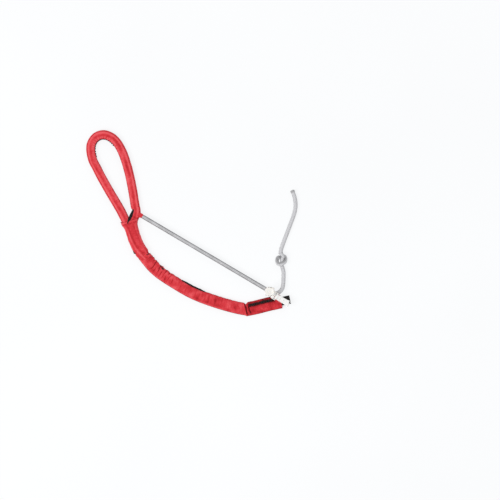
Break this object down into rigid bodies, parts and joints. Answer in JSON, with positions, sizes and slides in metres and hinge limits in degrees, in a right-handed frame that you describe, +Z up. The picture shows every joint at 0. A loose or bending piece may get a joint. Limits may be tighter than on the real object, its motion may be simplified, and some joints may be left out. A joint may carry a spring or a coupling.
{
  "type": "strap pull with cord lock",
  "caption": "Fabric-sleeved strap pull with a hand loop, a round cord made fast in its throat, and a small sprung barrel lock on the cord with its own sew-in tape.",
  "frame": {"origin": "on the surface that it lies on, under the middle of the outline of everything but the free cord", "axes": "+X along the strap from the hand loop to the sew-in root, +Y across it towards the loop's tip, +Z up from the surface"},
  "size_m": [0.211, 0.1859, 0.0162],
  "materials": {
    "red_sleeve": "soft woven sleeve, slightly napped",
    "black_webbing": "flat woven webbing",
    "black_thread": "twisted sewing thread",
    "grey_cord": "braided sheath",
    "cream_plastic": "moulded, satin",
    "white_tape": "narrow woven tape",
    "spring_steel": "drawn wire"
  },
  "bodies": {
    "handle": {"throat_cuff": "red_sleeve", "throat_sleeve": "red_sleeve", "stem_sleeve": "red_sleeve", "root_sleeve": "red_sleeve", "strap_core": "black_webbing", "seam_thread": "black_thread", "throat_bartack": "black_thread", "root_zigzag": "black_thread", "cord_tab": "red_sleeve", "cord_run": "grey_cord"},
    "loop": {"loop_sleeve": "red_sleeve", "loop_core": "black_webbing"},
    "tail": {"cord_tail": "grey_cord", "stopper_knot": "grey_cord", "cord_end": "grey_cord", "cord_tip": "grey_cord"},
    "lock": {"lock_barrel": "cream_plastic", "lock_spring": "spring_steel"},
    "button": {"lock_yoke": "cream_plastic", "button_cap": "cream_plastic"},
    "tape": {"anchor_tape": "white_tape", "tape_stitch": "white_tape"}
  },
  "joints": [
    {"name": "loop_fold", "type": "hinge", "parent": "handle", "child": "loop", "pos_m": [-0.05905, 0.00685, 0.0062], "axis": [0.9371, 0.349, 0], "range_deg": [0, 90]},
    {"name": "lock_slide", "type": "slide", "parent": "handle", "child": "lock", "axis": [-0.8616, 0.5076, 0], "range_m": [0, 0.115]},
    {"name": "button_press", "type": "slide", "parent": "lock", "child": "button", "axis": [0, 0, -1], "range_m": [0, 0.0014], "stiffness_N_per_m": 300, "springref_m": -0.003, "deforming": ["lock_spring"]},
    {"name": "tape_swing", "type": "hinge", "parent": "lock", "child": "tape", "pos_m": [0.08865, -0.07231, 0.00825], "axis": [-0.5076, -0.8616, 0], "range_deg": [0, 100]},
    {"name": "tail_lift", "type": "hinge", "parent": "handle", "child": "tail", "pos_m": [0.0929, -0.0668, 0.0066], "axis": [0.8486, -0.5291, 0], "range_deg": [0, 75]}
  ]
}
